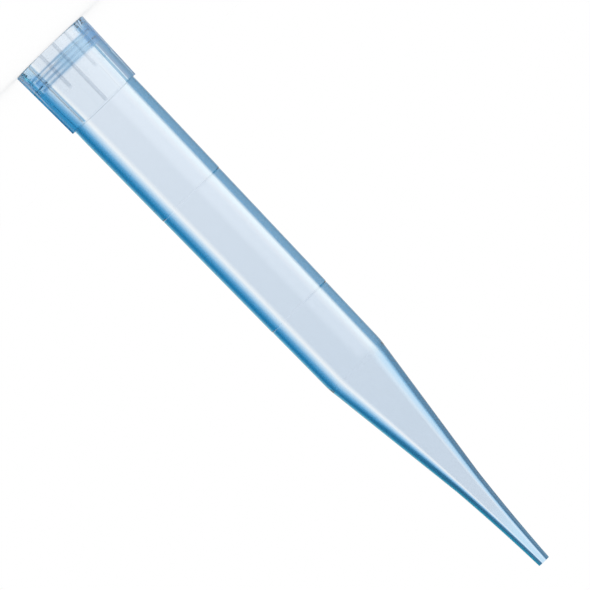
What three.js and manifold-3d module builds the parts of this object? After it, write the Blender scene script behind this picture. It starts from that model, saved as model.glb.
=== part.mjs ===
// A 1000 microlitre pipette tip: one thin-walled polypropylene moulding, open at both ends.
// It stands on its mouth. z = 0 is the mouth face, and +Z runs along the axis to the orifice.
// The walls are one closed profile turned about the axis. The grip ribs are then joined to the collar.

import * as THREE from "three";
import { mergeVertices } from "three/addons/utils/BufferGeometryUtils.js";
import Module from "manifold-3d";

// Driving dimensions, in millimetres unless the name says otherwise.

// Lengths along the axis
const LENGTH = 71.4; // mouth face to orifice
const COLLAR_LENGTH = 7.9; // mouth face to the collar's step
const CONE_LENGTH = 26.8; // shoulder to orifice
const FINE_END_LENGTH = 11.0; // the slender last stretch of the cone

// Bore diameters
const COLLAR_END_BORE = 6.78;
const SHOULDER_BORE = 6.08;
const KNEE_BORE = 2.18; // where the cone meets the fine end
const ORIFICE_BORE = 0.78;

// Walls, measured square to the axis
const COLLAR_END_WALL = 0.655; // of the body, just past the collar's step
const SHOULDER_WALL = 0.58;
const CONE_WALL = 0.5; // just past the shoulder
const KNEE_WALL = 0.39;
const ORIFICE_WALL = 0.275;
const MOUTH_WALL = 0.5;
const FINE_END_SAG = 0.07; // how far the fine end curves in from a straight taper

// Collar
const COLLAR_STEP = 0.19; // the collar's skin stands out this far from the body
const COLLAR_DRAFT_DEG = 1.45;
const RIB_COUNT = 16; // alternately long and short
const RIB_HEIGHT = 0.13;
const RIB_WIDTH = 0.36;
const SHORT_RIB_LENGTH = 4.65;
const SHORT_RIB_RUNOUT = 0.35;

// Seat for the pipette's nozzle, inside the collar
const SEAT_TAPER_DEG = 2.3;
const LEAD_IN_LENGTH = 1.1; // the flared mouth runs straight down to the land
const LAND_STEP = 0.05; // the land is a slightly tighter band that carries the seal rings
const LAND_RAMP = 0.15; // length of the slope off the land, at its inner end
const LAND_MARGIN = 0.12; // land left beyond the outermost rings
const SEAL_RING_COUNT = 2;
const SEAL_RING_WIDTH = 0.5;
const SEAL_RING_HEIGHT = 0.08;
const SEAL_RING_PITCH = 1.04;

// Graduation rings: the body steps in by drop at the height where this much liquid fills the tip.
const GRADUATIONS = [
  { microlitres: 1000, drop: 0.035 },
  { microlitres: 500, drop: 0.035 },
];
const GROOVE_WIDTH = 0.2;
const GROOVE_DEPTH = 0.02;

// Edges
const MOUTH_EDGE_RADIUS = 0.12;
const MOUTH_CHAMFER = 0.08;
const COLLAR_EDGE_RADIUS = 0.05;
const SHOULDER_BLEND = 1.2; // length over which the body's wall thins to the cone's
const SHOULDER_EASE = 0.45; // reach of the shoulder's rounding to each side
const ORIFICE_EDGE = 0.06;

// Facets
const AROUND = 48;
const ARC_STEPS = 3;
const RING_STEPS = 6;
const FINE_STEPS = 8;

const wasm = await Module();
wasm.setup();

const { degToRad, lerp, inverseLerp } = THREE.MathUtils;

// Places along the axis
const shoulderZ = LENGTH - CONE_LENGTH;
const kneeZ = LENGTH - FINE_END_LENGTH;
const landStartZ = LEAD_IN_LENGTH;
const firstRingZ = landStartZ + LAND_MARGIN + SEAL_RING_WIDTH / 2;
const lastRingZ = firstRingZ + (SEAL_RING_COUNT - 1) * SEAL_RING_PITCH;
const landEndZ = lastRingZ + SEAL_RING_WIDTH / 2 + LAND_MARGIN;

// Radii at those places
const collarEndBoreR = COLLAR_END_BORE / 2;
const shoulderBoreR = SHOULDER_BORE / 2;
const kneeBoreR = KNEE_BORE / 2;
const orificeBoreR = ORIFICE_BORE / 2;
const bodyR = collarEndBoreR + COLLAR_END_WALL;
const shoulderR = shoulderBoreR + SHOULDER_WALL;
const coneR = shoulderBoreR + CONE_WALL;
const kneeR = kneeBoreR + KNEE_WALL;
const orificeR = orificeBoreR + ORIFICE_WALL;

function collarSkinR(z) {
  return bodyR + COLLAR_STEP + (COLLAR_LENGTH - z) * Math.tan(degToRad(COLLAR_DRAFT_DEG));
}

function ribCrestR(z) {
  return collarSkinR(z) + RIB_HEIGHT;
}

function seatR(z) {
  return collarEndBoreR + (COLLAR_LENGTH - z) * Math.tan(degToRad(SEAT_TAPER_DEG));
}

// The straight bore below the collar: body, then cone.
function boreR(z) {
  if (z < shoulderZ) {
    return lerp(collarEndBoreR, shoulderBoreR, inverseLerp(COLLAR_LENGTH, shoulderZ, z));
  }
  if (z < kneeZ) {
    return lerp(shoulderBoreR, kneeBoreR, inverseLerp(shoulderZ, kneeZ, z));
  }
  return fineR(kneeBoreR, orificeBoreR, inverseLerp(kneeZ, LENGTH, z));
}

// The fine end's curve: a straight taper, pulled in at its middle by FINE_END_SAG.
function fineR(from, to, t) {
  return lerp(from, to, t) - 4 * FINE_END_SAG * t * (1 - t);
}

// Height at which a volume, filled from the orifice, ends. The bore is summed in thin slices.
function fillHeight(microlitres) {
  const slice = 0.01;
  let z = LENGTH;
  let filled = 0;
  while (filled < microlitres) {
    z -= slice;
    filled += Math.PI * boreR(z + slice / 2) ** 2 * slice;
  }
  return z;
}

function pointsOnRun(from, to, steps, radiusAt) {
  const run = [];
  for (let i = 0; i <= steps; i++) {
    const t = i / steps;
    run.push(new THREE.Vector2(radiusAt(t), lerp(from, to, t)));
  }
  return run;
}

function arcPoints(r, z, radius, fromDeg, toDeg) {
  const arc = new THREE.EllipseCurve(
    r,
    z,
    radius,
    radius,
    degToRad(fromDeg),
    degToRad(toDeg),
    toDeg < fromDeg,
  );
  return arc.getPoints(ARC_STEPS);
}

// Outside of the collar, from the mouth face to the step's inner corner.
function collarOutside() {
  const mouthR = collarSkinR(MOUTH_EDGE_RADIUS);
  const endR = collarSkinR(COLLAR_LENGTH - COLLAR_EDGE_RADIUS);
  return [
    ...arcPoints(mouthR - MOUTH_EDGE_RADIUS, MOUTH_EDGE_RADIUS, MOUTH_EDGE_RADIUS, -90, 0),
    ...arcPoints(endR - COLLAR_EDGE_RADIUS, COLLAR_LENGTH - COLLAR_EDGE_RADIUS, COLLAR_EDGE_RADIUS, 0, 90),
    new THREE.Vector2(bodyR, COLLAR_LENGTH),
  ];
}

// Outside of the body: an even taper with a shallow groove and a step at each graduation.
function bodyOutside() {
  const totalDrop = GRADUATIONS.reduce((sum, mark) => sum + mark.drop, 0);
  let dropped = 0;
  const taperedR = (z) => {
    const t = inverseLerp(COLLAR_LENGTH, shoulderZ, z);
    return lerp(bodyR, shoulderR + totalDrop, t) - dropped;
  };
  const outside = [];
  for (const { microlitres, drop } of GRADUATIONS) {
    const z = fillHeight(microlitres);
    outside.push(new THREE.Vector2(taperedR(z - GROOVE_WIDTH / 2), z - GROOVE_WIDTH / 2));
    dropped += drop;
    outside.push(new THREE.Vector2(taperedR(z) - GROOVE_DEPTH, z));
    outside.push(new THREE.Vector2(taperedR(z + GROOVE_WIDTH / 2), z + GROOVE_WIDTH / 2));
  }
  return outside;
}

// A corner eased into a curve that leaves both its sides at the given reach.
function easedCorner(before, corner, after, reach) {
  const start = corner.clone().lerp(before, reach / corner.distanceTo(before));
  const end = corner.clone().lerp(after, reach / corner.distanceTo(after));
  return new THREE.QuadraticBezierCurve(start, corner, end).getPoints(ARC_STEPS);
}

// Outside of the shoulder and the cone down to the orifice. The body's last point comes in.
function coneOutside(bodyEnd) {
  const blendEndZ = shoulderZ + SHOULDER_BLEND / 2;
  const blendEndR = lerp(coneR, kneeR, inverseLerp(shoulderZ, kneeZ, blendEndZ));
  const corner = new THREE.Vector2(shoulderR, shoulderZ - SHOULDER_BLEND / 2);
  const blendEnd = new THREE.Vector2(blendEndR, blendEndZ);
  return [
    ...easedCorner(bodyEnd, corner, blendEnd, SHOULDER_EASE),
    blendEnd,
    ...pointsOnRun(kneeZ, LENGTH - ORIFICE_EDGE, FINE_STEPS, (t) => fineR(kneeR, orificeR, t)),
    new THREE.Vector2(orificeR - ORIFICE_EDGE, LENGTH),
  ];
}

// The bore from the orifice back to the end of the collar.
function boreInside() {
  return [
    ...pointsOnRun(LENGTH, kneeZ, FINE_STEPS, (t) => fineR(orificeBoreR, kneeBoreR, t)),
    new THREE.Vector2(shoulderBoreR, shoulderZ),
    new THREE.Vector2(collarEndBoreR, COLLAR_LENGTH),
  ];
}

// The nozzle seat from the end of the collar to the mouth: taper, land with seal rings, lead-in.
function seatInside() {
  const landR = (z) => seatR(z) - LAND_STEP;
  const inside = [new THREE.Vector2(seatR(landEndZ + LAND_RAMP), landEndZ + LAND_RAMP)];
  inside.push(new THREE.Vector2(landR(landEndZ), landEndZ));
  for (let i = 0; i < SEAL_RING_COUNT; i++) {
    const middle = lastRingZ - i * SEAL_RING_PITCH;
    const from = middle + SEAL_RING_WIDTH / 2;
    const to = middle - SEAL_RING_WIDTH / 2;
    const ringR = (t) => landR(lerp(from, to, t)) - SEAL_RING_HEIGHT * Math.sin(Math.PI * t) ** 2;
    inside.push(...pointsOnRun(from, to, RING_STEPS, ringR));
  }
  inside.push(new THREE.Vector2(landR(landStartZ), landStartZ));
  const mouthBoreR = collarSkinR(0) - MOUTH_WALL;
  inside.push(new THREE.Vector2(mouthBoreR, MOUTH_CHAMFER));
  inside.push(new THREE.Vector2(mouthBoreR + MOUTH_CHAMFER, 0));
  return inside;
}

// Turns a closed profile of (radius, height) points about +Z.
function turned(profile) {
  const closed = [...profile, profile[0].clone()];
  return new THREE.LatheGeometry(closed, AROUND).rotateX(Math.PI / 2);
}

function solidOf(geometry) {
  const bare = geometry.clone();
  bare.deleteAttribute("normal");
  bare.deleteAttribute("uv");
  const merged = mergeVertices(bare, 1e-4);
  return new wasm.Manifold(
    new wasm.Mesh({
      numProp: 3,
      vertProperties: merged.attributes.position.array,
      triVerts: new Uint32Array(merged.index.array),
    }),
  );
}

// The space that ribs of one length may fill, from their roots under the skin to past their crests.
// It rounds their ends at the mouth, and brings them down to the skin over the run-out.
function ribSpace(length, runout) {
  const rootR = (z) => collarSkinR(z) - RIB_HEIGHT;
  const pastCrestR = ribCrestR(0) + RIB_HEIGHT;
  const mouthR = ribCrestR(MOUTH_EDGE_RADIUS);
  return solidOf(
    turned([
      new THREE.Vector2(rootR(0), 0),
      ...arcPoints(mouthR - MOUTH_EDGE_RADIUS, MOUTH_EDGE_RADIUS, MOUTH_EDGE_RADIUS, -90, 0),
      new THREE.Vector2(pastCrestR, 2 * MOUTH_EDGE_RADIUS),
      new THREE.Vector2(runout ? ribCrestR(length - runout) : pastCrestR, length - runout),
      new THREE.Vector2(runout ? collarSkinR(length) : pastCrestR, length),
      new THREE.Vector2(rootR(length), length),
    ]),
  );
}

// One round-topped bar along the collar, tilted to the collar's draft.
function ribBar(angle) {
  const half = RIB_WIDTH / 2;
  const buriedR = ribCrestR(0) - 4 * RIB_HEIGHT;
  const section = new THREE.Shape();
  section.moveTo(buriedR, -half);
  section.lineTo(ribCrestR(0) - half, -half);
  section.absarc(ribCrestR(0) - half, 0, half, -Math.PI / 2, Math.PI / 2, false);
  section.lineTo(buriedR, half);
  section.closePath();
  const overrun = 1;
  const bar = new THREE.ExtrudeGeometry(section, {
    depth: COLLAR_LENGTH + 2 * overrun,
    bevelEnabled: false,
    curveSegments: 2 * ARC_STEPS,
  });
  bar.translate(0, 0, -overrun);
  bar.rotateY(-degToRad(COLLAR_DRAFT_DEG));
  bar.rotateZ(angle);
  return solidOf(bar);
}

function withRibs(shell) {
  const longSpace = ribSpace(COLLAR_LENGTH, 0);
  const shortSpace = ribSpace(SHORT_RIB_LENGTH, SHORT_RIB_RUNOUT);
  let ribbed = shell;
  for (let i = 0; i < RIB_COUNT; i++) {
    const space = i % 2 ? shortSpace : longSpace;
    ribbed = ribbed.add(ribBar((i * 2 * Math.PI) / RIB_COUNT).intersect(space));
  }
  return ribbed;
}

function geometryOf(solid) {
  const mesh = solid.getMesh();
  const geometry = new THREE.BufferGeometry();
  geometry.setAttribute("position", new THREE.BufferAttribute(mesh.vertProperties, 3));
  geometry.setIndex(new THREE.BufferAttribute(mesh.triVerts, 1));
  geometry.computeVertexNormals();
  return geometry;
}

const bodyRun = bodyOutside();

const walls = solidOf(
  turned([
    ...collarOutside(),
    ...bodyRun,
    ...coneOutside(bodyRun.at(-1)),
    ...boreInside(),
    ...seatInside(),
  ]),
);

const clearBluePlastic = new THREE.MeshStandardMaterial({
  name: "clear_blue_plastic",
  color: 0x9cc4e0,
  roughness: 0.12,
  metalness: 0,
  transparent: true,
  opacity: 0.45,
});

const pipetteTip = new THREE.Mesh(geometryOf(withRibs(walls)), clearBluePlastic);
pipetteTip.name = "pipette_tip";

const part = new THREE.Group();
part.name = "pipette_tip_part";
part.add(pipetteTip);

export default part;
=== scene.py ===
"""A clear blue 1000 microlitre pipette tip, standing on its mouth, with its stage.

Laid out as a Blender add-on: one operator moulds the tip, another sets the stage.
"""

import math

import bpy
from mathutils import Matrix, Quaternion, Vector


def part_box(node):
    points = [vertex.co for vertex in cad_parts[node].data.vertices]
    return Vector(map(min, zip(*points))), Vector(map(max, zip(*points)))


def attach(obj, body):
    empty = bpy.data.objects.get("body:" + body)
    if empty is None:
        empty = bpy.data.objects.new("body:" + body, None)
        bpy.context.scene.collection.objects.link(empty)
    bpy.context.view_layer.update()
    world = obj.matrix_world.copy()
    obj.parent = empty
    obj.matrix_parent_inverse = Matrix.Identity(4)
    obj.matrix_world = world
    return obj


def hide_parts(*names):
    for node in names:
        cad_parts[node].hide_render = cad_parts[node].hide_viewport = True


bl_info = {
    "name": "Pipette Tip",
    "version": (1, 0, 0),
    "blender": (4, 5, 0),
    "location": "3D View > Sidebar > Pipette Tip",
    "description": "Moulds a clear graduated pipette tip and sets a plain stage for it",
    "category": "Add Mesh",
}

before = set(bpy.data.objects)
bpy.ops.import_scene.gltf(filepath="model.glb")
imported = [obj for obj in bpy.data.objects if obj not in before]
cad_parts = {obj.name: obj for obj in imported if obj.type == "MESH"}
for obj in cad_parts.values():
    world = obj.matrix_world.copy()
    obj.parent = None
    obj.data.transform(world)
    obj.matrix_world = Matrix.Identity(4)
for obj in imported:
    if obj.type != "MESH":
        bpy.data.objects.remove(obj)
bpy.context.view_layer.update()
NODE = "pipette_tip"
SLOT = "clear_blue_plastic"
MM = 0.001

node_low, node_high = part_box(NODE)


# ---- what a user would change


def length(name, description, default):
    """A size in metres, shown in the scene's units."""
    return bpy.props.FloatProperty(
        name=name, description=description, default=default, min=0.0, precision=6, unit="LENGTH"
    )


def angle(name, description, degrees):
    """An angle, whose default is given in degrees."""
    return bpy.props.FloatProperty(
        name=name, description=description, default=math.radians(degrees), unit="ROTATION"
    )


def colour(name, description, default):
    """A colour as red, green and blue shares."""
    return bpy.props.FloatVectorProperty(
        name=name, description=description, default=default, size=3, min=0.0, max=1.0,
        subtype="COLOR",
    )


def amount(name, description, default, high=1.0):
    """A plain number from 0 up to a limit."""
    return bpy.props.FloatProperty(
        name=name, description=description, default=default, min=0.0, max=high
    )


class TipSizes(bpy.types.PropertyGroup):
    """The moulding's sizes."""

    overall: length("Length", "Mouth face to orifice", node_high.z - node_low.z)
    collar: length("Collar", "Mouth face to the collar's step", 7.9 * MM)
    cone: length("Cone", "Shoulder to orifice", 26.8 * MM)
    fine_end: length("Fine end", "The slender last stretch of the cone", 11.0 * MM)

    collar_end_bore: length("Collar end bore", "Bore radius at the collar's step", 3.39 * MM)
    shoulder_bore: length("Shoulder bore", "Bore radius at the shoulder", 3.04 * MM)
    knee_bore: length("Knee bore", "Bore radius where the fine end starts", 1.09 * MM)
    orifice_bore: length("Orifice", "Bore radius at the narrow end", 0.39 * MM)

    collar_end_wall: length("Body wall", "Wall just past the collar's step", 0.655 * MM)
    shoulder_wall: length("Shoulder wall", "Wall just before the shoulder", 0.58 * MM)
    cone_wall: length("Cone wall", "Wall just past the shoulder", 0.5 * MM)
    knee_wall: length("Knee wall", "Wall where the fine end starts", 0.39 * MM)
    orifice_wall: length("Orifice wall", "Wall at the narrow end", 0.275 * MM)
    mouth_wall: length("Mouth wall", "Wall at the mouth", 0.5 * MM)
    fine_sag: length("Fine end curve", "How far the fine end curves in", 0.07 * MM)

    collar_step: length("Collar step", "How far the collar's skin stands out", 0.19 * MM)
    collar_draft: angle("Collar draft", "Taper of the collar's skin", 1.45)
    rib_count: bpy.props.IntProperty(
        name="Ribs", description="Grip ribs, alternately long and short", default=16, min=2
    )
    rib_height: length("Rib height", "How far a rib stands out of the skin", 0.13 * MM)
    rib_width: length("Rib width", "Width of a rib at its root", 0.36 * MM)
    short_rib: length("Short rib", "Mouth face to the end of a short rib", 4.65 * MM)
    runout: length("Run-out", "Length over which a short rib fades", 0.35 * MM)

    seat_taper: angle("Seat taper", "Taper of the nozzle seat in the collar", 2.3)
    lead_in: length("Lead-in", "Length of the flared mouth, which ends on the land", 1.1 * MM)
    land_step: length("Land step", "How far the sealing land stands in", 0.05 * MM)
    land_ramp: length("Land ramp", "Length of the slope off the land", 0.15 * MM)
    land_margin: length("Land margin", "Land beyond the outermost seal rings", 0.12 * MM)
    seal_ring_width: length("Seal ring width", "Width of a seal ring", 0.5 * MM)
    seal_ring_height: length("Seal ring height", "Height of a seal ring", 0.08 * MM)
    seal_ring_pitch: length("Seal ring pitch", "Distance between seal rings", 1.04 * MM)

    groove_width: length("Groove width", "Width of a graduation groove", 0.2 * MM)
    groove_depth: length("Groove depth", "Depth of a graduation groove", 0.02 * MM)
    upper_drop: length("1000 step", "Step in at the 1000 microlitre ring", 0.035 * MM)
    lower_drop: length("500 step", "Step in at the 500 microlitre ring", 0.035 * MM)

    mouth_edge: length("Mouth edge", "Rounding of the mouth's outer edge", 0.12 * MM)
    mouth_chamfer: length("Mouth chamfer", "Bevel of the mouth's inner edge", 0.08 * MM)
    small_edge: length("Small edge", "Rounding of the lesser edges", 0.05 * MM)
    step_edge: length("Step edge", "Rounding of the collar's step", 0.02 * MM)
    shoulder_blend: length("Shoulder blend", "Length of the step at the shoulder", 1.2 * MM)
    shoulder_round: length("Shoulder rounding", "Rounding of the shoulder", 8 * MM)


class TipFinish(bpy.types.PropertyGroup):
    """The plastic's looks."""

    face_tint: colour("Face tint", "Light passing where the wall is seen face on", (0.725, 0.785, 0.87))
    fine_tint: colour("Fine tint", "What the fine end lets through of that", (0.82, 0.87, 0.91))
    point_tint: colour("Point tint", "Light passing the last few millimetres", (0.56, 0.77, 0.94))

    # Painted highlights in the bright lines; painted shade, with the deeper colour of long paths, in the
    # bands.
    near_painted_highlight_tint: colour("Bright line -X", "Just inside the edge at -X", (0.86, 0.93, 0.96))
    near_edge_tint: colour("Edge -X", "Where the wall is seen edge on at -X", (0.045, 0.25, 0.45))
    cone_inner_tint: colour("Cone inner -X", "On the cone at -X, next to the face", (0.62, 0.78, 0.93))
    cone_painted_highlight_tint: colour("Cone bright -X", "On the cone at -X, further out", (0.58, 0.80, 0.97))
    cone_deep_tint: colour("Cone deep -X", "On the cone at -X, near the edge", (0.27, 0.53, 0.77))
    cone_edge_tint: colour("Cone edge -X", "On the cone at -X, at the edge", (0.025, 0.20, 0.38))
    painted_highlight_tint: colour("Bright line +X", "Just inside the edge at +X", (1.0, 1.0, 1.0))
    far_pale_tint: colour("Pale band +X", "At +X, outside the bright line", (0.46, 0.68, 0.89))
    far_deep_tint: colour("Deep band +X", "At +X, near the edge", (0.13, 0.41, 0.71))
    far_edge_tint: colour("Edge +X", "Where the wall is seen edge on at +X", (0.018, 0.22, 0.46))
    # Painted light along the very outline at +X.
    painted_rim_light_tint: colour("Rim +X", "The very outline at +X", (0.03, 0.58, 0.80))
    fine_edge_tint: colour("Fine edge", "The fine end, seen edge on", (0.028, 0.145, 0.275))

    # Collar and mouth edges: painted shade with the deeper colour of long paths, and a painted dark line
    # at -X.
    collar_edge_tint: colour("Collar edge +X", "The collar, seen edge on at +X", (0.05, 0.36, 0.68))
    near_line_shade_tint: colour("Collar line -X", "The edge of the collar's bore at -X", (0.28, 0.46, 0.64))
    mouth_near_tint: colour("Mouth -X", "The mouth, seen edge on at -X", (0.05, 0.265, 0.55))
    mouth_far_tint: colour("Mouth +X", "The mouth, seen edge on at +X", (0.33, 0.60, 0.88))
    lead_tint: colour("Lead-in", "The skin outside the lead-in, seen edge on", (0.75, 0.92, 1.0))
    # Painted shade on the land and on the flanks of its seal rings.
    land_shade_tint: colour("Land", "Light passing the sealing land", (0.29, 0.57, 0.81))
    stripe_shade_tint: colour("Stripe", "Light passing the flank of a seal ring", (0.34, 0.44, 0.56))
    # Painted shade on the ribs: grey on crests and flanks, darker on flanks that face +X.
    rib_shade_tint: colour("Rib", "Light passing the crest of a rib", (0.62, 0.66, 0.71))
    flank_shade_tint: colour("Flank", "Light passing the flank of a rib", (0.62, 0.65, 0.69))
    far_flank_shade_tint: colour("Flank +X", "And, near +X, a flank that faces +X", (0.42, 0.47, 0.48))

    absorption: colour("Absorption", "Colour that survives in the wall", (0.15, 0.6, 0.825))
    density: amount("Density", "How strongly the wall absorbs, per metre", 60.0, 5000.0)
    rib_softness: amount("Rib softness", "How much of a rib's slope is polished out of its gloss", 0.55)
    roughness: amount("Roughness", "Roughness of the moulded surface", 0.03)
    ior: bpy.props.FloatProperty(
        name="IOR", description="Refractive index of polypropylene", default=1.49, min=1.0, max=2.0
    )


class StageLook(bpy.types.PropertyGroup):
    """Floor, light and camera."""

    floor: colour("Floor", "Colour of the floor", (1.0, 1.0, 1.0))
    floor_glow: amount("Floor glow", "How much of the floor's white is its own", 0.5)
    surround: colour("Surround", "Light from all round", (1.0, 1.0, 1.0))
    front_light: amount("Front light", "Reflected light from in front of the tip", 0.8)
    side_light: amount("Side light", "Reflected light from the side away from +X", 2.5, 10.0)
    glancing_light: amount("Glancing light", "Surround reflected at the very outline", 0.8)
    camera_distance: length("Camera distance", "From the tip's middle", 1.5)
    turn: angle("Turn", "Camera azimuth round the tip", 6.35)
    roll: angle("Roll", "Lean of the tip in the view", 136.115)
    view_width: length("View width", "Width of the view at the tip", 59.03 * MM)
    rise: length("Rise", "How far the view's middle lies above the tip's", 0.934 * MM)
    slide: length("Slide", "How far the view's middle lies left of the tip's", 0.183 * MM)
    floor_drop: length("Floor drop", "Gap that keeps the floor clear of the mouth face", 0.02 * MM)


# ---- node trees as arithmetic


def maths(operation, reflected=False):
    """A method that adds a Math node to its value's tree."""

    def method(self, *others):
        terms = (*others, self) if reflected else (self, *others)
        return self.graph.node("ShaderNodeMath", {"operation": operation}, *terms)

    return method


class Value:
    """A socket on its way through a node tree. Arithmetic on it adds Math nodes."""

    def __init__(self, graph, socket):
        self.graph = graph
        self.socket = socket

    __add__, __radd__ = maths("ADD"), maths("ADD", reflected=True)
    __sub__, __rsub__ = maths("SUBTRACT"), maths("SUBTRACT", reflected=True)
    __mul__, __rmul__ = maths("MULTIPLY"), maths("MULTIPLY", reflected=True)
    __truediv__, __rtruediv__ = maths("DIVIDE"), maths("DIVIDE", reflected=True)
    __mod__, __rmod__ = maths("FLOORED_MODULO"), maths("FLOORED_MODULO", reflected=True)
    __pow__, __rpow__ = maths("POWER"), maths("POWER", reflected=True)
    at_least = maths("MAXIMUM")
    at_most = maths("MINIMUM")
    floor = maths("FLOOR")
    root = maths("SQRT")
    abs = maths("ABSOLUTE")
    sin = maths("SINE")
    cos = maths("COSINE")

    def ramp(self, low, high):
        """0 below low, 1 above high, straight between."""
        return ((self - low) / (high - low)).at_least(0).at_most(1)

    def soft_ramp(self, low, high):
        """A ramp that eases in and out."""
        straight = self.ramp(low, high)
        return straight * straight * (3 - 2 * straight)


class Graph:
    """A node tree, filled by one method."""

    MIX_SHARE, MIX_FIRST, MIX_SECOND = 0, 6, 7  # places of a Mix node's inputs for colours
    MIX_RESULT = 2

    def __init__(self, tree):
        self.tree = tree
        tree.nodes.clear()

    def node(self, kind, settings=None, *terms, out=0, **named):
        """Adds a node: settings first, then sockets by place or by name. Returns one output."""
        made = self.tree.nodes.new(kind)
        for key, value in (settings or {}).items():
            if key == "stops":
                self.set_stops(made.color_ramp, value)
            else:
                setattr(made, key, value)
        for place, term in enumerate(terms):
            self.feed(made.inputs[place], term)
        for name, term in named.items():
            self.feed(made.inputs[name.replace("_", " ")], term)
        return Value(self, made.outputs[out]) if made.outputs else made

    def vector(self, operation, *terms, out="Vector", **named):
        """Works on vectors. A product that is a number comes out as Value."""
        settings = {"operation": operation}
        return self.node("ShaderNodeVectorMath", settings, *terms, out=out, **named)

    def mix(self, share, first, second, blend="MIX"):
        """Blends two colours."""
        settings = {"data_type": "RGBA", "blend_type": blend}
        mixed = self.node("ShaderNodeMix", settings, out=self.MIX_RESULT)
        inputs = mixed.socket.node.inputs
        self.feed(inputs[self.MIX_SHARE], share)
        self.feed(inputs[self.MIX_FIRST], first)
        self.feed(inputs[self.MIX_SECOND], second)
        return mixed

    def tinted(self, first, second, share):
        """One colour seen through another, by a share."""
        return self.mix(share, first, second, "MULTIPLY")

    def set_stops(self, ramp, stops):
        """Gives a colour ramp its stops, as (place, colour) pairs."""
        while len(ramp.elements) < len(stops):
            ramp.elements.new(0.5)
        for element, (place, tint) in zip(ramp.elements, stops):
            element.position = place
            element.color = (*tint, 1.0)

    def feed(self, socket, term):
        """Links a value to a socket, or sets the socket to a number, a vector or an opaque colour."""
        if isinstance(term, Value):
            self.tree.links.new(term.socket, socket)
        elif socket.type == "RGBA":
            socket.default_value = (*term, 1.0)
        else:
            socket.default_value = term


# ---- the moulding's profile


def lerp(start, end, along):
    return start + (end - start) * along


class Corner:
    """A corner of the profile: radius, height and rounding, with the marks on the surface there."""

    def __init__(self, radius, z, rounding=0.0, long=0.0, short=0.0, land=0.0, stripe=0.0):
        self.at = Vector((radius, z))
        self.rounding = rounding
        self.marks = Vector((long, short, land, stripe))


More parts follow.
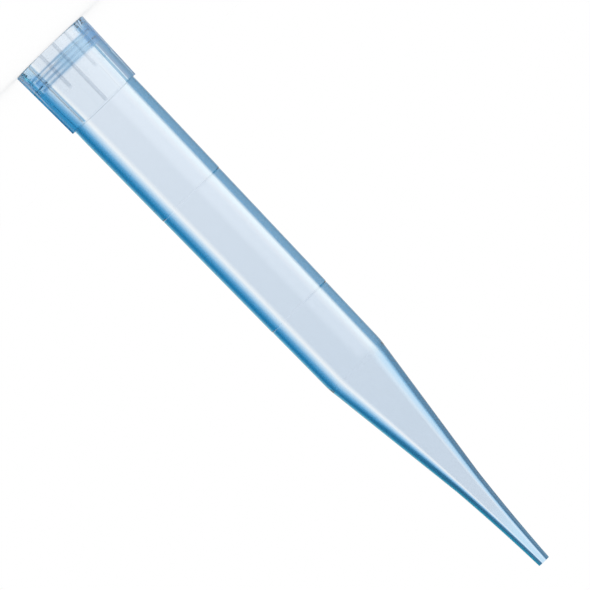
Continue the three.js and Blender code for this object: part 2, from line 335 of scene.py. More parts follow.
class Profile:
    """The closed outline of the wall, as radius and height, from the tip's sizes."""

    ROUND_STEPS = 5
    LAND_STEPS = 36
    FINE_STEPS = 10
    LONGEST_STEP = 4 * MM
    GUARD = 0.03 * MM  # rows this close to an edge keep the shading of the flats straight
    LEAST_GAP = 3 * GUARD  # a flat shorter than this has no room for them
    LEAST_TURN = math.radians(0.2)  # a corner flatter than this is not rounded
    LEAST_SIDE = 1e-6 * MM  # a side shorter than this is none
    SIDE_SHARE = 0.45  # a rounding takes up at most this share of the side next to it
    BORE_EDGES = 10  # the bore's own corners are rounded by this many small edges
    LAND_EDGES = 2  # and the foot of the land by this many
    FILL_STEP = 0.01 * MM
    LAND_FADE = 0.2 * MM  # length over which the land's tint comes in at its ends
    FOOT_TINT = 0.5  # the land's tint at the foot of its slope
    # The stripes are painted shade.
    STRIPE_SHIFT = 0.07 * MM  # stripes show this much further from the mouth than their seal rings

    def __init__(self, sizes):
        self.sizes = sizes
        self.shoulder_z = sizes.overall - sizes.cone
        self.knee_z = sizes.overall - sizes.fine_end
        self.body_radius = sizes.collar_end_bore + sizes.collar_end_wall
        self.shoulder_radius = sizes.shoulder_bore + sizes.shoulder_wall
        self.cone_radius = sizes.shoulder_bore + sizes.cone_wall
        self.knee_radius = sizes.knee_bore + sizes.knee_wall
        self.orifice_radius = sizes.orifice_bore + sizes.orifice_wall
        self.first_ring = sizes.lead_in + sizes.land_margin + sizes.seal_ring_width / 2
        self.last_ring = self.first_ring + sizes.seal_ring_pitch
        self.land_end = self.last_ring + sizes.seal_ring_width / 2 + sizes.land_margin

    def skin_radius(self, z):
        sizes = self.sizes
        return self.body_radius + sizes.collar_step + (sizes.collar - z) * math.tan(sizes.collar_draft)

    def seat_radius(self, z):
        sizes = self.sizes
        return sizes.collar_end_bore + (sizes.collar - z) * math.tan(sizes.seat_taper)

    def land_radius(self, z):
        """The land's radius, drawn in where a seal ring stands."""
        sizes = self.sizes
        radius = self.seat_radius(z) - sizes.land_step
        for middle in (self.first_ring, self.last_ring):
            across = (z - middle) / sizes.seal_ring_width + 0.5
            if 0 < across < 1:
                radius -= sizes.seal_ring_height * math.sin(math.pi * across) ** 2
        return radius

    # The stripes carry painted shade on the seal rings' flanks.
    def stripe(self, z):
        """1 on the flanks of the seal rings, 0 on their crests and half way between them."""
        along = (z - self.first_ring - self.STRIPE_SHIFT) / self.sizes.seal_ring_pitch
        return 0.5 - 0.5 * math.cos(2 * math.tau * along)

    def fine_radius(self, start, end, along):
        """The fine end's radius: a taper that sags most half way along."""
        return lerp(start, end, along) - 4 * self.sizes.fine_sag * along * (1 - along)

    def bore_radius(self, z):
        """The bore's radius at a height, its seal rings left out."""
        sizes = self.sizes
        if z < sizes.collar:
            return self.seat_radius(z)
        if z < self.shoulder_z:
            along = (z - sizes.collar) / (self.shoulder_z - sizes.collar)
            return lerp(sizes.collar_end_bore, sizes.shoulder_bore, along)
        if z < self.knee_z:
            along = (z - self.shoulder_z) / (self.knee_z - self.shoulder_z)
            return lerp(sizes.shoulder_bore, sizes.knee_bore, along)
        along = (z - self.knee_z) / (sizes.overall - self.knee_z)
        return self.fine_radius(sizes.knee_bore, sizes.orifice_bore, along)

    def fill_height(self, volume):
        """Height at which a volume, filled from the orifice, ends."""
        z, filled = self.sizes.overall, 0.0
        while filled < volume:
            z -= self.FILL_STEP
            filled += math.pi * self.bore_radius(z + self.FILL_STEP / 2) ** 2 * self.FILL_STEP
        return z

    def outside(self):
        """The collar, body, cone and fine end, from the mouth to the orifice."""
        yield from self.collar_corners()
        yield from self.graduation_corners()
        yield from self.cone_corners()

    def collar_corners(self):
        sizes = self.sizes
        mouth_radius = self.skin_radius(0) - sizes.mouth_wall + sizes.mouth_chamfer
        yield Corner(mouth_radius, 0, sizes.small_edge / 2)
        yield Corner(self.skin_radius(0), 0, sizes.mouth_edge, long=1, short=1)
        fade = sizes.short_rib - sizes.runout
        for z, short in (
            (fade - self.GUARD, 1),
            (fade, 1),
            (sizes.short_rib, 0),
            (sizes.short_rib + self.GUARD, 0),
        ):
            yield Corner(self.skin_radius(z), z, long=1, short=short)
        yield Corner(self.skin_radius(sizes.collar), sizes.collar, sizes.step_edge, long=1)
        yield Corner(self.body_radius, sizes.collar, sizes.step_edge)

    def graduation_corners(self):
        """A groove and a step in, at each of the two levels."""
        sizes = self.sizes
        undropped_radius = self.shoulder_radius + sizes.upper_drop + sizes.lower_drop
        dropped = 0.0
        for microlitres, drop in ((1000, sizes.upper_drop), (500, sizes.lower_drop)):
            middle = self.fill_height(microlitres * MM**3)
            half = sizes.groove_width / 2
            for z, step, depth in (
                (middle - half, 0.0, 0.0),
                (middle, drop, sizes.groove_depth),
                (middle + half, 0.0, 0.0),
            ):
                dropped += step
                along = (z - sizes.collar) / (self.shoulder_z - sizes.collar)
                tapered = lerp(self.body_radius, undropped_radius, along)
                yield Corner(tapered - dropped - depth, z, sizes.small_edge)

    def cone_corners(self):
        sizes = self.sizes
        half = sizes.shoulder_blend / 2
        along = half / (self.knee_z - self.shoulder_z)
        blended_radius = lerp(self.cone_radius, self.knee_radius, along)
        yield Corner(self.shoulder_radius, self.shoulder_z - half, sizes.shoulder_round)
        yield Corner(blended_radius, self.shoulder_z + half, sizes.shoulder_round)
        for step in range(self.FINE_STEPS):
            along = step / self.FINE_STEPS
            z = self.knee_z + along * sizes.fine_end
            yield Corner(self.fine_radius(self.knee_radius, self.orifice_radius, along), z)
        yield Corner(self.orifice_radius, sizes.overall, sizes.small_edge)

    def inside(self):
        """The bore, from the orifice back to the mouth."""
        sizes = self.sizes
        for step in range(self.FINE_STEPS + 1):
            along = 1 - step / self.FINE_STEPS
            z = self.knee_z + along * sizes.fine_end
            rounding = sizes.small_edge / 2 if step == 0 else 0.0
            yield Corner(self.fine_radius(sizes.knee_bore, sizes.orifice_bore, along), z, rounding)
        bore_edge = self.BORE_EDGES * sizes.small_edge
        yield Corner(sizes.shoulder_bore, self.shoulder_z, bore_edge)
        yield Corner(sizes.collar_end_bore, sizes.collar, bore_edge)
        foot = self.land_end + sizes.land_ramp
        clear = foot + self.LAND_FADE
        yield Corner(self.seat_radius(clear), clear)
        foot_edge = self.LAND_EDGES * sizes.small_edge
        yield Corner(self.seat_radius(foot), foot, foot_edge, land=self.FOOT_TINT)
        for step in range(self.LAND_STEPS + 1):
            z = lerp(self.land_end, sizes.lead_in, step / self.LAND_STEPS)
            land = min(1, (z - sizes.lead_in) / self.LAND_FADE)
            yield Corner(self.land_radius(z), z, 0, land=land, stripe=land * self.stripe(z))
        mouth_bore = self.skin_radius(0) - sizes.mouth_wall
        lead_radius = lerp(self.land_radius(sizes.lead_in), mouth_bore, self.GUARD / sizes.lead_in)
        yield Corner(lead_radius, sizes.lead_in - self.GUARD)
        yield Corner(mouth_bore, sizes.mouth_chamfer, sizes.small_edge / 2)

    def rows(self):
        """Points along the outline: (radius, height, long rib, short rib, land, stripe, bore share)."""
        outer, inner = list(self.outside()), list(self.inside())
        corners = outer + inner
        rows = []
        for i, corner in enumerate(corners):
            before, after = corners[i - 1], corners[(i + 1) % len(corners)]
            points = self.rounded(before, corner, after)
            arc = len(points) > 1
            for place, point in enumerate(points):
                guards = (arc and place == 0, arc and place == len(points) - 1)
                rows.append((point, corner.marks, self.bore_share(point, i < len(outer)), guards))
        return self.subdivided(rows)

    def bore_share(self, point, outer):
        """How wide the bore is inside the outer skin; 0 on the bore and on the two end faces."""
        radius, z = point
        at_end = z < self.sizes.mouth_edge / 2 or z > self.sizes.overall - self.sizes.small_edge / 2
        return self.bore_radius(z) / radius if outer and not at_end else 0.0

    def rounded(self, before, corner, after):
        """The corner's points: one, or an arc that touches both of its sides."""
        back, ahead = before.at - corner.at, after.at - corner.at
        if corner.rounding <= 0 or min(back.length, ahead.length) < self.LEAST_SIDE:
            return [corner.at]
        back_way, ahead_way = back.normalized(), ahead.normalized()
        turn = math.pi - back_way.angle(ahead_way)
        if turn < self.LEAST_TURN:
            return [corner.at]
        reach = corner.rounding * math.tan(turn / 2)
        reach = min(reach, self.SIDE_SHARE * back.length, self.SIDE_SHARE * ahead.length)
        radius = reach / math.tan(turn / 2)
        middle_way = (back_way + ahead_way).normalized()
        centre = corner.at + middle_way * (radius / math.cos(turn / 2))
        start = corner.at + back_way * reach - centre
        finish = corner.at + ahead_way * reach - centre
        points = []
        for step in range(self.ROUND_STEPS + 1):
            along = step / self.ROUND_STEPS
            from_start = start * math.sin((1 - along) * turn)
            from_finish = finish * math.sin(along * turn)
            points.append(centre + (from_start + from_finish) / math.sin(turn))
        return points

    def subdivided(self, rows):
        """Adds rows on the long flats: beside each rounding, and evenly between."""
        full = []
        for i, (point, marks, share, guards) in enumerate(rows):
            next_point, next_marks, next_share, next_guards = rows[(i + 1) % len(rows)]
            gap = (next_point - point).length
            full.append((*point, *marks, share))
            places = set()
            if gap > self.LEAST_GAP:
                if guards[1]:
                    places.add(self.GUARD / gap)
                if next_guards[0]:
                    places.add(1 - self.GUARD / gap)
            if gap > self.LONGEST_STEP:
                count = math.ceil(gap / self.LONGEST_STEP)
                places |= {step / count for step in range(1, count)}
            for along in sorted(places):
                between = point.lerp(next_point, along)
                full.append((*between, *marks.lerp(next_marks, along), lerp(share, next_share, along)))
        return full


def profile_object(rows):
    """The outline as a bare mesh in the XZ plane, with what the turning reads as attributes."""
    radii, heights, *marks = zip(*rows)
    mesh = bpy.data.meshes.new("tip_outline")
    mesh.from_pydata([(radius, 0.0, z) for radius, z in zip(radii, heights)], [], [])
    for name, values in zip(("long_rib", "short_rib", "land", "stripe", "bore_share"), marks):
        attribute = mesh.attributes.new(name, "FLOAT", "POINT")
        attribute.data.foreach_set("value", values)
    outline = bpy.data.objects.new(NODE + "_clear", mesh)
    bpy.context.collection.objects.link(outline)
    return outline


# ---- turning and ribbing, as a tree


WELD = 1e-4 * MM
TURNING_INPUTS = {
    "Outline": "NodeSocketGeometry",
    "Columns per rib": "NodeSocketInt",
    "Ribs": "NodeSocketInt",
    "Rib height": "NodeSocketFloat",
    "Rib width": "NodeSocketFloat",
    "Crowding": "NodeSocketFloat",
    "Plastic": "NodeSocketMaterial",
}


def turning_tree():
    """A Geometry Nodes tree that turns an outline about Z and raises the collar's ribs."""
    tree = bpy.data.node_groups.new("turned_and_ribbed", "GeometryNodeTree")
    for name, kind in TURNING_INPUTS.items():
        tree.interface.new_socket(name, in_out="INPUT", socket_type=kind)
    tree.interface.new_socket("Moulding", in_out="OUTPUT", socket_type="NodeSocketGeometry")

    graph = Graph(tree)
    entry = tree.nodes.new("NodeGroupInput")
    outline, per_rib, ribs, height, width, crowding, plastic = (
        Value(graph, entry.outputs[name]) for name in TURNING_INPUTS
    )
    rows = graph.node("GeometryNodeAttributeDomainSize", {"component": "MESH"}, outline)
    columns = per_rib * ribs
    grid = graph.node("GeometryNodeMeshGrid", {}, 1.0, 1.0, columns + 1, rows + 1)
    index = graph.node("GeometryNodeInputIndex")
    column = (index / (rows + 1)).floor()
    row = (index - column * (rows + 1)) % rows

    def sampled(data_type, field):
        return graph.node(
            "GeometryNodeSampleIndex", {"data_type": data_type, "domain": "POINT"},
            Geometry=outline, Value=field, Index=row,
        )

    def stored(name):
        field = graph.node("GeometryNodeInputNamedAttribute", {"data_type": "FLOAT"}, name)
        return sampled("FLOAT", field)

    place = sampled("FLOAT_VECTOR", graph.node("GeometryNodeInputPosition"))
    radius = graph.node("ShaderNodeSeparateXYZ", {}, place, out="X")
    z = graph.node("ShaderNodeSeparateXYZ", {}, place, out="Z")

    # Columns crowd together at each rib, where the surface turns fastest.
    phase = column / per_rib
    nearest = (phase + 0.5).floor()
    local = phase - nearest
    crowded = local - crowding * (local * math.tau).sin() / math.tau
    pitch = math.tau / ribs
    turn = (nearest + crowded) * pitch

    across = (crowded * pitch * radius / (width / 2)).abs()
    crest = 0.5 + 0.5 * (across.at_most(1) * math.pi).cos()
    is_short = nearest % 2
    standing = stored("long_rib") * (1 - is_short) + stored("short_rib") * is_short
    rib = crest * standing
    ribbed = radius + height * rib

    position = graph.node("ShaderNodeCombineXYZ", {}, ribbed * turn.cos(), ribbed * turn.sin(), z)
    marked = graph.node("GeometryNodeSetPosition", {}, grid, Position=position)
    marks = {name: stored(name) for name in ("bore_share", "land", "stripe")} | {"rib": rib}
    for name, value in marks.items():
        marked = graph.node(
            "GeometryNodeStoreNamedAttribute", {"data_type": "FLOAT", "domain": "POINT"},
            Geometry=marked, Name=name, Value=value,
        )
    welded = graph.node("GeometryNodeMergeByDistance", {}, marked, Distance=WELD)
    smooth = graph.node("GeometryNodeSetShadeSmooth", {"domain": "FACE"}, welded)
    real = graph.node("GeometryNodeRealizeInstances", {}, smooth)
    done = graph.node("GeometryNodeSetMaterial", {}, real, Material=plastic)
    graph.feed(tree.nodes.new("NodeGroupOutput").inputs[0], done)
    return tree


def socket_key(tree, name):
    """The identifier by which a modifier's input is set."""
    return next(item.identifier for item in tree.interface.items_tree if item.name == name)


def moulded(outline, tree, inputs):
    """Runs the tree on the outline and returns the result as a plain mesh object."""
    modifier = outline.modifiers.new("turning", "NODES")
    modifier.node_group = tree
    for name, value in inputs.items():
        modifier[socket_key(tree, name)] = value
    evaluated = outline.evaluated_get(bpy.context.evaluated_depsgraph_get())
    mesh = bpy.data.meshes.new_from_object(evaluated)
    outline.modifiers.remove(modifier)
    outline.data = mesh
    return outline


# ---- materials


class ClearPlastic:
    """The tint and the normal of clear blue plastic, deeper where a line of sight stays in the wall.

    A depth says how far off the axis a line of sight passes: about 1 where it just misses the bore.
    Near is the side towards -X and far the side towards +X. A pair is the start and end of a ramp.
    Towards the edges the tint is partly the deeper colour of a longer path in the wall and partly
    painted shade, for the dark surroundings that the wall reflects inside it. Its bright lines and lit
    stretches are painted highlights, and the -X and +X sides differ as painted light and shade.
    """

    WHITE = (1.0, 1.0, 1.0)
    EVEN = 0.5  # the blend at which Facing is 1 less the cosine
    LEAST_LEVEL = 0.05  # keeps the depth finite when the tip is seen end on
    LEAST_SHARE = 0.1  # and on the bore and the end faces
    SKIN = (0.2, 0.4)  # bore shares that tell the skin from the bore and the end faces
    RAMP_REACH = 2.0  # a colour ramp ends at 1, so a depth is divided by this

    # Heights: down from a zone's top, ...
    FADE = (0.0, 0.2 * MM)
    LEAD_FADE = (-0.1 * MM, 0.2 * MM)
    # ... up from the mouth face, ...
    RINGS_RISE = (1.6 * MM, 2.2 * MM)
    FINE_RISE = (8.0 * MM, 52.0 * MM)
    # ... from the top of the mouth's zone, ...
    COLLAR_RISE = (0.0, 3.5 * MM)
    # ... from the shoulder, ...
    CONE_RISE = (-1.1 * MM, 0.9 * MM)
    FINE_EDGE_RISE = (-4.6 * MM, 15.4 * MM)
    RIM_RISE = (0.4 * MM, 13.4 * MM)
    FAR_CONE_RISE = (0.9 * MM, 5.4 * MM)
    NEAR_CONE_RISE = (5.4 * MM, 15.4 * MM)
    # ... and from the orifice.
    POINT_RISE = (-7.9 * MM, -3.9 * MM)

    # Corrections to the depth: the bore shares under which it grows faster, how much wider the bore
    # seems within the collar, and how much less or more the depth is on the cone.
    NEAR_BORE, FAR_BORE = 0.78, 0.82
    NEAR_WIDER, NEAR_WIDER_STILL, FAR_WIDER = 0.10, 0.04, 0.02
    NEAR_CONE_LESS, FAR_CONE_MORE = 0.045, 0.02

    # Each edge's colour ramp: the depths of its stops, and those over which it replaces the face.
    NEAR_BODY_DEPTHS, NEAR_BODY_START = (0.84, 0.875, 0.96), (0.70, 0.82)
    NEAR_CONE_DEPTHS, NEAR_CONE_START = (0.72, 0.88, 0.95, 1.02), (0.55, 0.72)
    FAR_DEPTHS, FAR_START = (0.705, 0.83, 0.935, 1.05), (0.58, 0.72)
    NEAR_OUTLINE, FAR_OUTLINE = (0.95, 1.05), (0.90, 1.06)

    # The outline, then the mouth, then the rest of the collar. A start is where a tint comes in, an
    # end is where it goes out, both by depth.
    RIM_WIDTH, RIM_COLLAR_LOSS, RIM_CONE_LOSS = 0.25 * MM, 0.5, 0.25
    MOUTH_NEAR_START, LEAD_NEAR_SHARE = (0.74, 0.84), 0.3
    MOUTH_FAR_START, MOUTH_FAR_END = (0.72, 0.84), (1.03, 1.09)
    COLLAR_EDGE_START, COLLAR_EDGE_SHARE = (0.85, 1.0), 0.6
    NEAR_LINE_START, NEAR_LINE_END = (0.865, 0.905), (0.93, 0.98)
    # Haze whitens the collar's face, most at the lead-in; the third share whitens its -X side as painted
    # light.
    COLLAR_HAZE, LEAD_HAZE, NEAR_HAZE = 0.06, 0.34, 0.05

    # The land: the stretch of its far side that takes painted light, by side (0 at -X, 1 at +X), and its
    # stripes of painted shade.
    LIT_START, LIT_END = (0.56, 0.74), (0.80, 0.94)
    LIT_RINGS_LOSS, LIT_STRIPE = 0.45, 0.3
    STRIPE_GAIN, LEAST_STRIPE = 1.5, 0.4

    # The ribs' painted shade: where it stops showing, towards the far edge and towards -X, and how steep
    # a flank is.
    RIBS_END, RIBS_SIDE, LEAST_RIB = (0.8, 0.95), (0.1, 0.45), 0.45
    FLANK_SLOPE, FAR_FLANK_LEAN, FAR_FLANK_SIDE = (0.02, 0.2), (0.02, 0.15), (0.70, 0.80)

    def __init__(self, graph, profile, finish):
        self.graph, self.profile, self.finish = graph, profile, finish
        place = graph.node("ShaderNodeTexCoord", out="Object")
        x, y, self.z = (graph.node("ShaderNodeSeparateXYZ", {}, place, out=name) for name in "XYZ")
        self.radius = (x * x + y * y).root()
        self.axis = graph.node("ShaderNodeCombineXYZ", {}, 0.0, 0.0, 1.0)
        self.radial = graph.vector("NORMALIZE", graph.node("ShaderNodeCombineXYZ", {}, x, y, 0.0))
        self.side = graph.node("ShaderNodeSeparateXYZ", {}, self.radial, out="X") * 0.5 + 0.5
        self.leaving = graph.node("ShaderNodeNewGeometry", out="Backfacing")
        self.share = self.attribute("bore_share").at_least(self.LEAST_SHARE)
        self.true_normal = graph.node("ShaderNodeNewGeometry", out="Normal")
        self.along_skin = graph.vector("CROSS_PRODUCT", self.axis, self.radial)
        self.lean = graph.vector("DOT_PRODUCT", self.true_normal, self.along_skin, out="Value")

        mouth_top = profile.land_end + profile.sizes.land_margin
        self.collar = self.below(profile.sizes.collar, self.FADE)
        self.mouth = self.below(mouth_top, self.FADE)
        self.lead = self.below(profile.sizes.lead_in, self.LEAD_FADE)
        self.grip = self.collar * (1 - self.mouth)

        self.off_axis = self.sight_off_axis()
        wider_still = self.NEAR_WIDER_STILL * self.above(mouth_top, self.COLLAR_RISE)
        near_wider = 1 + self.collar * (self.NEAR_WIDER + wider_still)
        less = self.NEAR_CONE_LESS * self.above(profile.shoulder_z, self.NEAR_CONE_RISE)
        self.near_depth = self.depth(self.NEAR_BORE, near_wider) * (1 - less)
        far_wider = 1 + self.FAR_WIDER * self.collar
        more = self.FAR_CONE_MORE * self.above(profile.shoulder_z, self.FAR_CONE_RISE)
        self.far_depth = self.depth(self.FAR_BORE, far_wider) * (1 + more)

    def attribute(self, name):
        return self.graph.node("ShaderNodeAttribute", {"attribute_name": name}, out="Fac")

    def below(self, top, fade):
        """1 well below a height, 0 above it."""
        return (top - self.z).ramp(*fade)

    def above(self, base, rise):
        """0 below a stretch of height, 1 above it. The stretch is given from a base height."""
        start, end = rise
        return self.z.ramp(base + start, base + end)

    def cosine(self, direction):
        """How squarely a direction faces the line of sight."""
        return 1 - self.graph.node("ShaderNodeLayerWeight", {}, self.EVEN, direction, out="Facing")

    def sight_off_axis(self):
        """How far off the axis a line of sight passes before it is bent, as a share of the radius."""
        level = (1 - self.cosine(self.axis) ** 2).root()
        head_on = (self.cosine(self.radial) / level.at_least(self.LEAST_LEVEL)).at_most(1)
        return (1 - head_on ** 2).root() * (1 + (self.finish.ior - 1) * self.leaving)

    def depth(self, bore, wider):
        bored = self.share * (self.share / bore).at_most(1)
        return self.off_axis / (bored * wider)

    def tint(self):
        """What the surface lets through: the skin and the bore, with the collar's ribs on them."""
        share = self.share.ramp(*self.SKIN)
        return self.ribbed(self.graph.mix(share, self.bore(), self.skin()))

    def face(self):
        """The skin seen face on, a little deeper towards the orifice."""
        graph, finish = self.graph, self.finish
        face = graph.tinted(finish.face_tint, finish.fine_tint, self.above(0.0, self.FINE_RISE))
        point = self.above(self.profile.sizes.overall, self.POINT_RISE)
        return graph.mix(point, face, finish.point_tint)

    def edged(self, face, depth, start, depths, tints):
        """The face, which gives way towards the edge to a ramp of tints."""
        stops = [(place / self.RAMP_REACH, tint) for place, tint in zip(depths, tints)]
        edge = self.graph.node("ShaderNodeValToRGB", {"stops": stops}, depth / self.RAMP_REACH)
        return self.graph.mix(depth.ramp(*start), face, edge)

    def sides(self):
        """The skin of body and cone, its near and far edges each in their own tints."""
        finish = self.finish
        face = self.face()
        # Near (-X): bright lines of painted highlight, then a band of painted shade with the deeper
        # colour of long paths.
        near_body = self.edged(
            face, self.near_depth, self.NEAR_BODY_START, self.NEAR_BODY_DEPTHS,
            (finish.near_painted_highlight_tint, finish.near_painted_highlight_tint, finish.near_edge_tint),
        )
        # On the cone the near band has its own tints, with a painted highlight in it.
        near_cone = self.edged(
            face, self.near_depth, self.NEAR_CONE_START, self.NEAR_CONE_DEPTHS,
            (
                finish.cone_inner_tint,
                finish.cone_painted_highlight_tint,
                finish.cone_deep_tint,
                finish.cone_edge_tint,
            ),
        )
        # Far (+X): the same in its own tints; the two sides differ as painted light and shade.
        far = self.edged(
            face, self.far_depth, self.FAR_START, self.FAR_DEPTHS,
            (finish.painted_highlight_tint, finish.far_pale_tint, finish.far_deep_tint, finish.far_edge_tint),
        )
        cone = self.above(self.profile.shoulder_z, self.CONE_RISE)
        near = self.graph.mix(cone, near_body, near_cone)
        return self.graph.mix(self.side, near, far)

    def rim(self):
        """1 at the very outline, less on the collar and towards the point."""
        rim = (self.radius * (1 - self.off_axis)).ramp(self.RIM_WIDTH, 0.0)
        rise = self.above(self.profile.shoulder_z, self.RIM_RISE)
        return rim * (1 - self.RIM_COLLAR_LOSS * self.collar) * (1 - self.RIM_CONE_LOSS * rise)

    def skin(self):
        """The outer skin, from the plain sides to what only some stretches have."""
        graph, finish = self.graph, self.finish
        far_edge = self.side * self.far_depth.ramp(*self.FAR_OUTLINE)
        near_edge = (1 - self.side) * self.near_depth.ramp(*self.NEAR_OUTLINE)
        edge = far_edge + near_edge
        fine = self.above(self.profile.shoulder_z, self.FINE_EDGE_RISE)
        # The fine end's edges: painted shade with the deeper colour of long paths.
        skin = graph.mix(edge * fine, self.sides(), finish.fine_edge_tint)
        # Painted light along the very outline at +X.
        skin = graph.mix(self.rim() * self.side, skin, finish.painted_rim_light_tint)
        skin = self.collared(self.mouthed(skin))
        # Haze whitens the collar's face; its -X side is whitened further as painted light.
        haze_and_painted_light = (self.COLLAR_HAZE + self.LEAD_HAZE * self.lead) * (1 - edge)
        haze_and_painted_light = haze_and_painted_light + self.NEAR_HAZE * (1 - self.side) * (1 - self.mouth)
        return graph.mix(self.collar * haze_and_painted_light, skin, self.WHITE)

    def mouthed(self, skin):
        """The skin outside the lead-in and the land."""
        graph, finish = self.graph, self.finish
        # The mouth's edges: painted shade with the deeper colour of long paths, lighter at the lead-in.
        far_tint = graph.mix(self.lead, finish.mouth_far_tint, finish.lead_tint)
        near_tint = graph.mix(self.lead * self.LEAD_NEAR_SHARE, finish.mouth_near_tint, finish.lead_tint)
        far = self.mouth * self.side * self.far_depth.ramp(*self.MOUTH_FAR_START)
        far = far * (1 - self.far_depth.ramp(*self.MOUTH_FAR_END))
        near = self.mouth * (1 - self.side) * self.near_depth.ramp(*self.MOUTH_NEAR_START)
        return graph.mix(near, graph.mix(far, skin, far_tint), near_tint)

    def collared(self, skin):
        """The skin of the rest of the collar: its far edge, and a line along the bore's near edge."""
        graph, finish = self.graph, self.finish
        # Painted shade: a deeper edge at +X and a dark line along the bore's edge at -X.
        edge = self.grip * self.side * self.far_depth.ramp(*self.COLLAR_EDGE_START)
        skin = graph.mix(edge * self.COLLAR_EDGE_SHARE, skin, finish.collar_edge_tint)
        line = self.grip * (1 - self.side) * self.near_depth.ramp(*self.NEAR_LINE_START)
        line = line * (1 - self.near_depth.ramp(*self.NEAR_LINE_END))
        return graph.tinted(skin, finish.near_line_shade_tint, line)

    def bore(self):
        """The bore: clear, apart from the sealing land and the flanks of its rings."""
        graph, finish = self.graph, self.finish
        land, stripe = self.attribute("land"), self.attribute("stripe")
        # Painted light on a stretch of the land's far side; painted shade on the land and its rings'
        # flanks.
        lit = self.side.ramp(*self.LIT_START) * (1 - self.side.ramp(*self.LIT_END))
        lit = lit * (1 - self.LIT_RINGS_LOSS * self.above(0.0, self.RINGS_RISE))
        lit = lit * (self.LIT_STRIPE + (1 - self.LIT_STRIPE) * (1 - stripe))
        bore = graph.tinted(self.WHITE, finish.land_shade_tint, land * self.leaving * (1 - lit))
        striped = (self.side * self.STRIPE_GAIN).at_least(self.LEAST_STRIPE).at_most(1)
        return graph.tinted(bore, finish.stripe_shade_tint, stripe * self.leaving * striped)

    def ribbed(self, tint):
        """Tints the ribs' flanks and crests."""
        graph, finish = self.graph, self.finish
        # Painted shade: grey on the ribs' crests and flanks, darker on flanks that face +X near +X.
        seen = self.collar * (1 - self.leaving) * (1 - self.far_depth.ramp(*self.RIBS_END))
        seen = seen * self.side.ramp(*self.RIBS_SIDE).at_least(self.LEAST_RIB)
        upright = graph.vector("DOT_PRODUCT", self.true_normal, self.radial, out="Value")
        flank = (1 - upright.abs()).ramp(*self.FLANK_SLOPE) * seen
        far_flank = self.lean.ramp(*self.FAR_FLANK_LEAN) * seen * self.side.ramp(*self.FAR_FLANK_SIDE)
        tint = graph.tinted(tint, finish.flank_shade_tint, flank)
        tint = graph.tinted(tint, finish.far_flank_shade_tint, far_flank)
        return graph.tinted(tint, finish.rib_shade_tint, self.attribute("rib") * seen)

    def normal(self):
        """The normal with part of a rib's lean taken out, which softens the gloss on the ribs."""
        graph = self.graph
        removed = graph.vector("SCALE", self.along_skin, Scale=self.lean * self.finish.rib_softness)
        return graph.vector("NORMALIZE", graph.vector("SUBTRACT", self.true_normal, removed))


def clear_plastic(profile, finish):
    """The tip's one material: a tinted clear surface round a wall that absorbs."""
    material = bpy.data.materials.new(SLOT)
    material.use_nodes = True
    graph = Graph(material.node_tree)
    surface = ClearPlastic(graph, profile, finish)
    shader = graph.node(
        "ShaderNodeBsdfPrincipled",
        Base_Color=surface.tint(),
        Roughness=finish.roughness,
        IOR=finish.ior,
        Transmission_Weight=1.0,
        Normal=surface.normal(),
    )
    wall = graph.node("ShaderNodeVolumeAbsorption", Color=finish.absorption, Density=finish.density)
    graph.node("ShaderNodeOutputMaterial", Surface=shader, Volume=wall)
    return material


def floor_material(look):
    """Plain matt white. Looked at, it has some glow of its own, which lights nothing else."""
    material = bpy.data.materials.new("pale_floor")
    material.use_nodes = True
    graph = Graph(material.node_tree)
    paint = graph.node("ShaderNodeBsdfDiffuse", Color=look.floor)
    glow = graph.node("ShaderNodeEmission", Color=look.surround, Strength=1.0)
    glowing = graph.node("ShaderNodeMixShader", {}, look.floor_glow, paint, glow)
    viewed, mirrored, passed = (
        graph.node("ShaderNodeLightPath", out=ray)
        for ray in ("Is Camera Ray", "Is Glossy Ray", "Is Transmission Ray")
    )
    seen = viewed.at_least(mirrored).at_least(passed)
    both = graph.node("ShaderNodeMixShader", {}, seen, paint, glowing)
    graph.node("ShaderNodeOutputMaterial", Surface=both)
    return material


# ---- operators


class MESH_OT_pipette_tip(bpy.types.Operator):
    """Mould the pipette tip as one clear piece"""

    bl_idname = "mesh.pipette_tip"
    bl_label = "Mould Pipette Tip"

    COLUMNS_PER_RIB = 20
    CROWDING = 0.6  # the share by which columns stand closer together at a rib's crest
    RIB_SPREAD = 1.5  # the fillets at a rib's foot widen it this much

    def execute(self, context):
        sizes = context.scene.tip_sizes
        profile = Profile(sizes)
        tip = moulded(
            profile_object(profile.rows()),
            turning_tree(),
            {
                "Columns per rib": self.COLUMNS_PER_RIB,
                "Ribs": sizes.rib_count,
                "Rib height": sizes.rib_height,
                "Rib width": sizes.rib_width * self.RIB_SPREAD,
                "Crowding": self.CROWDING,
                "Plastic": clear_plastic(profile, context.scene.tip_finish),
            },
        )
        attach(tip, "root")
        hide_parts(NODE)
        return {"FINISHED"}


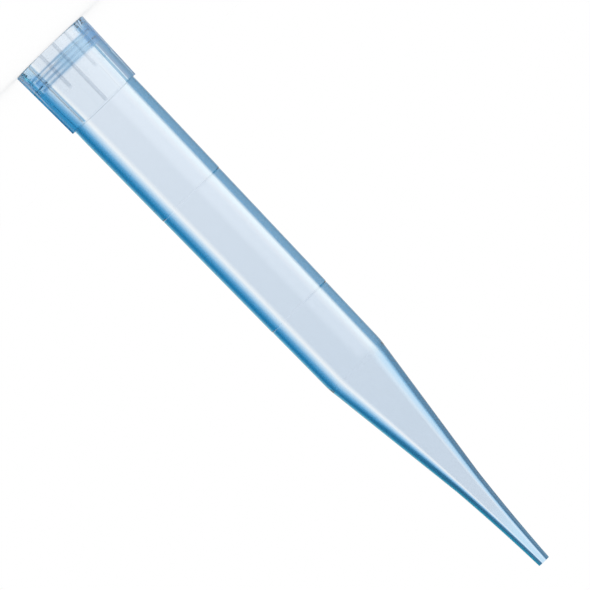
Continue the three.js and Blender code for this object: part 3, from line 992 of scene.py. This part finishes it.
class SCENE_OT_pipette_tip_stage(bpy.types.Operator):
    """Set the floor, the soft light and the camera"""

    bl_idname = "scene.pipette_tip_stage"
    bl_label = "Set Stage"

    SENSOR_WIDTH = 36.0
    FARTHEST_SEEN = 20.0
    FLOOR_SIDES = 96
    FLOOR_RADIUS = 0.6
    LIGHT_BOUNCES = 24

    # Where each reflected light stands, as ramps over the parts of a direction.
    FRONT_SPREAD = (0.0, 0.25)
    SIDE_SPREAD = (0.05, 0.6)
    SIDE_BACK = (0.0, 0.7)
    SIDE_FALL, LEAST_SIDE = 3.0, 0.2  # the side light weakens upwards and downwards
    BEHIND_SPREAD = (0.65, 1.0)
    BEHIND_SIDE, BEHIND_LOSS = (0.05, 0.4), 0.3  # the light from behind is weaker towards +X

    def execute(self, context):
        look = context.scene.stage_look
        self.camera(context, look)
        self.floor(look)
        self.light(context, look)
        return {"FINISHED"}

    def camera(self, context, look):
        data = bpy.data.cameras.new("camera")
        data.sensor_width = self.SENSOR_WIDTH
        data.lens = data.sensor_width * look.camera_distance / look.view_width
        data.clip_end = self.FARTHEST_SEEN
        camera = bpy.data.objects.new("camera", data)
        context.collection.objects.link(camera)
        back = Vector((math.sin(look.turn), -math.cos(look.turn), 0.0))
        camera.rotation_mode = "QUATERNION"
        camera.rotation_quaternion = Quaternion(back, look.roll) @ (-back).to_track_quat("-Z", "Y")
        right = camera.rotation_quaternion @ Vector((1.0, 0.0, 0.0))
        up = camera.rotation_quaternion @ Vector((0.0, 1.0, 0.0))
        middle = (node_low + node_high) / 2
        aim = middle + up * look.rise - right * look.slide
        camera.location = aim + back * look.camera_distance
        context.scene.camera = camera

    def floor(self, look):
        bpy.ops.mesh.primitive_circle_add(
            vertices=self.FLOOR_SIDES, radius=self.FLOOR_RADIUS, fill_type="NGON"
        )
        floor = bpy.context.object
        for corner in floor.data.vertices:
            corner.co.z = -look.floor_drop
        floor.name = "floor"
        floor.data.materials.append(floor_material(look))

    def light(self, context, look):
        world = bpy.data.worlds.new("surround")
        context.scene.world = world
        world.use_nodes = True
        graph = Graph(world.node_tree)
        glossy = graph.node("ShaderNodeLightPath", out="Is Glossy Ray")
        passed = graph.node("ShaderNodeLightPath", out="Is Transmission Ray")
        glow = graph.node(
            "ShaderNodeBackground", Color=look.surround,
            Strength=1 + (self.gleam(graph, look) - 1) * glossy * (1 - passed),
        )
        graph.node("ShaderNodeOutputWorld", Surface=glow)
        context.scene.view_settings.view_transform = "Standard"
        cycles = context.scene.cycles
        for kind in ("max_bounces", "glossy_bounces", "transmission_bounces"):
            setattr(cycles, kind, self.LIGHT_BOUNCES)

    def gleam(self, graph, look):
        """The light that the tip's gloss reflects: from in front, from the -X side and from behind."""
        way = graph.node("ShaderNodeTexCoord", out="Generated")
        right = (math.cos(look.turn), math.sin(look.turn), 0.0)
        ahead = (-math.sin(look.turn), math.cos(look.turn), 0.0)
        across, along, up = (
            graph.vector("DOT_PRODUCT", way, direction, out="Value")
            for direction in (right, ahead, (0.0, 0.0, 1.0))
        )
        front = (-1 * along).ramp(*self.FRONT_SPREAD) * look.front_light
        side = (-1 * across).soft_ramp(*self.SIDE_SPREAD) * (1 - along).ramp(*self.SIDE_BACK)
        side = side * look.side_light * (1 - self.SIDE_FALL * up.abs()).at_least(self.LEAST_SIDE)
        cut = across.ramp(*self.BEHIND_SIDE) * self.BEHIND_LOSS
        behind = along.ramp(*self.BEHIND_SPREAD) * (1 - cut) * look.glancing_light
        return front.at_least(side).at_least(behind)


class VIEW3D_PT_pipette_tip(bpy.types.Panel):
    """The tip's sizes, finish and stage"""

    bl_label = "Pipette Tip"
    bl_idname = "VIEW3D_PT_pipette_tip"
    bl_space_type = "VIEW_3D"
    bl_region_type = "UI"
    bl_category = "Pipette Tip"

    def draw(self, context):
        for group in (context.scene.tip_sizes, context.scene.tip_finish, context.scene.stage_look):
            box = self.layout.box()
            for name in group.__annotations__:
                box.prop(group, name)
        self.layout.operator(MESH_OT_pipette_tip.bl_idname)
        self.layout.operator(SCENE_OT_pipette_tip_stage.bl_idname)


CLASSES = (
    TipSizes,
    TipFinish,
    StageLook,
    MESH_OT_pipette_tip,
    SCENE_OT_pipette_tip_stage,
    VIEW3D_PT_pipette_tip,
)


def register():
    for each in CLASSES:
        bpy.utils.register_class(each)
    bpy.types.Scene.tip_sizes = bpy.props.PointerProperty(type=TipSizes)
    bpy.types.Scene.tip_finish = bpy.props.PointerProperty(type=TipFinish)
    bpy.types.Scene.stage_look = bpy.props.PointerProperty(type=StageLook)


def unregister():
    del bpy.types.Scene.stage_look
    del bpy.types.Scene.tip_finish
    del bpy.types.Scene.tip_sizes
    for each in reversed(CLASSES):
        bpy.utils.unregister_class(each)


def main():
    register()
    bpy.ops.scene.pipette_tip_stage()
    bpy.ops.mesh.pipette_tip()


if __name__ == "__main__":
    main()
